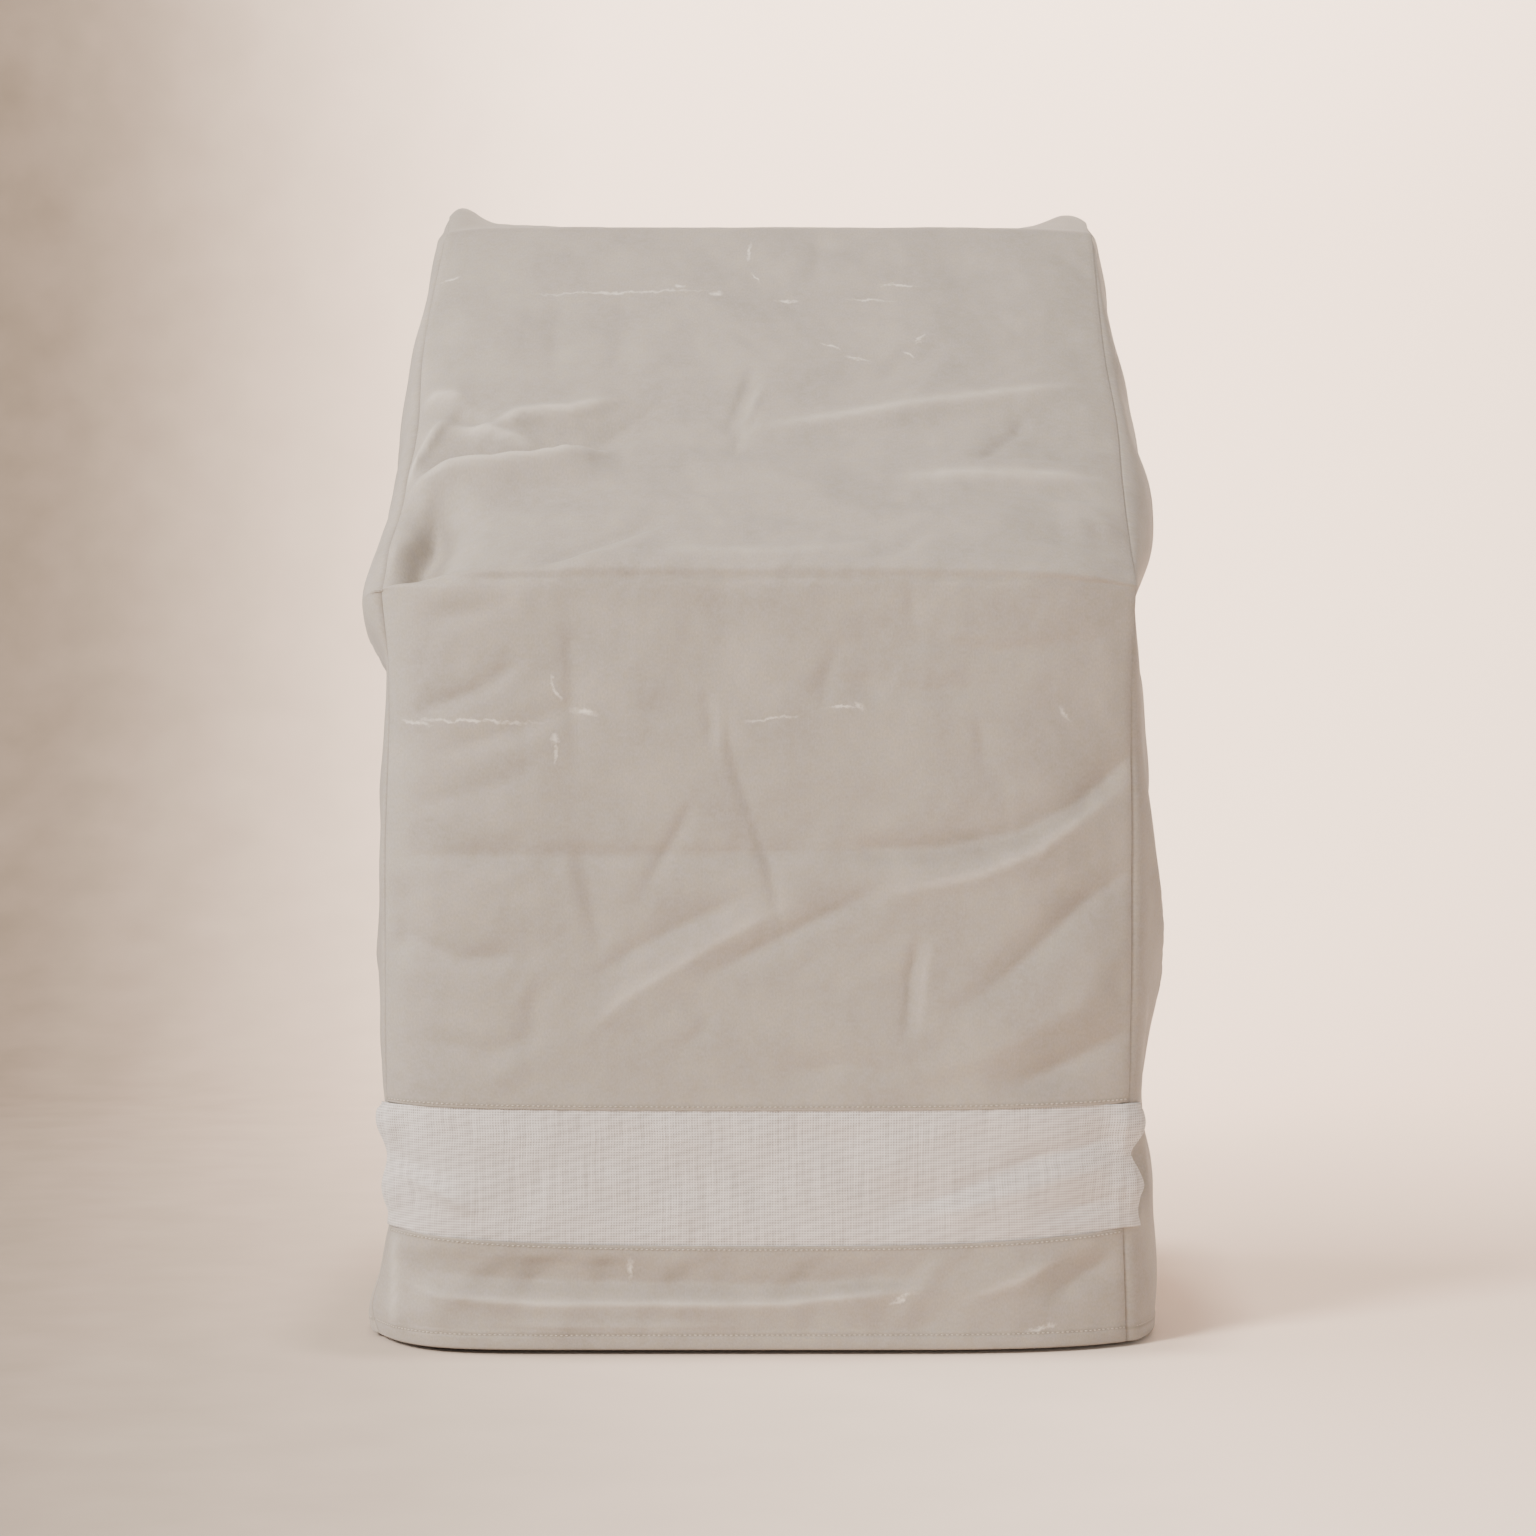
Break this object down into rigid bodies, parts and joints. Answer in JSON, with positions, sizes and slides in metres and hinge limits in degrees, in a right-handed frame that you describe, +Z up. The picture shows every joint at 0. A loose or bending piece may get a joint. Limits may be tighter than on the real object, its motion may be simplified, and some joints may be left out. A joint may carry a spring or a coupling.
{
  "type": "patio chair cover",
  "caption": "Fitted cover for a high-back patio chair: canvas strip over front, sloping seat and back, shaped side panels, mesh vent band above a hemmed skirt, open below.",
  "frame": {"origin": "on the floor, at the middle of the footprint of the cover's bounding box", "axes": "+Z up; the front with the mesh band faces -Y and the back faces +Y; +X to the right of someone who looks at the front"},
  "size_m": [0.7477, 0.6686, 1.1136],
  "materials": {
    "coated_canvas": "matt coated polyester canvas, warm greige, with a fine plain weave and pale crease marks",
    "vent_mesh": "open woven polyester mesh, pale lavender grey, with slubbed threads"
  },
  "bodies": {
    "root": {"main_panel": "coated_canvas", "side_panel_left": "coated_canvas", "side_panel_right": "coated_canvas", "vent_band": "vent_mesh", "front_skirt": "coated_canvas"}
  },
  "joints": []
}
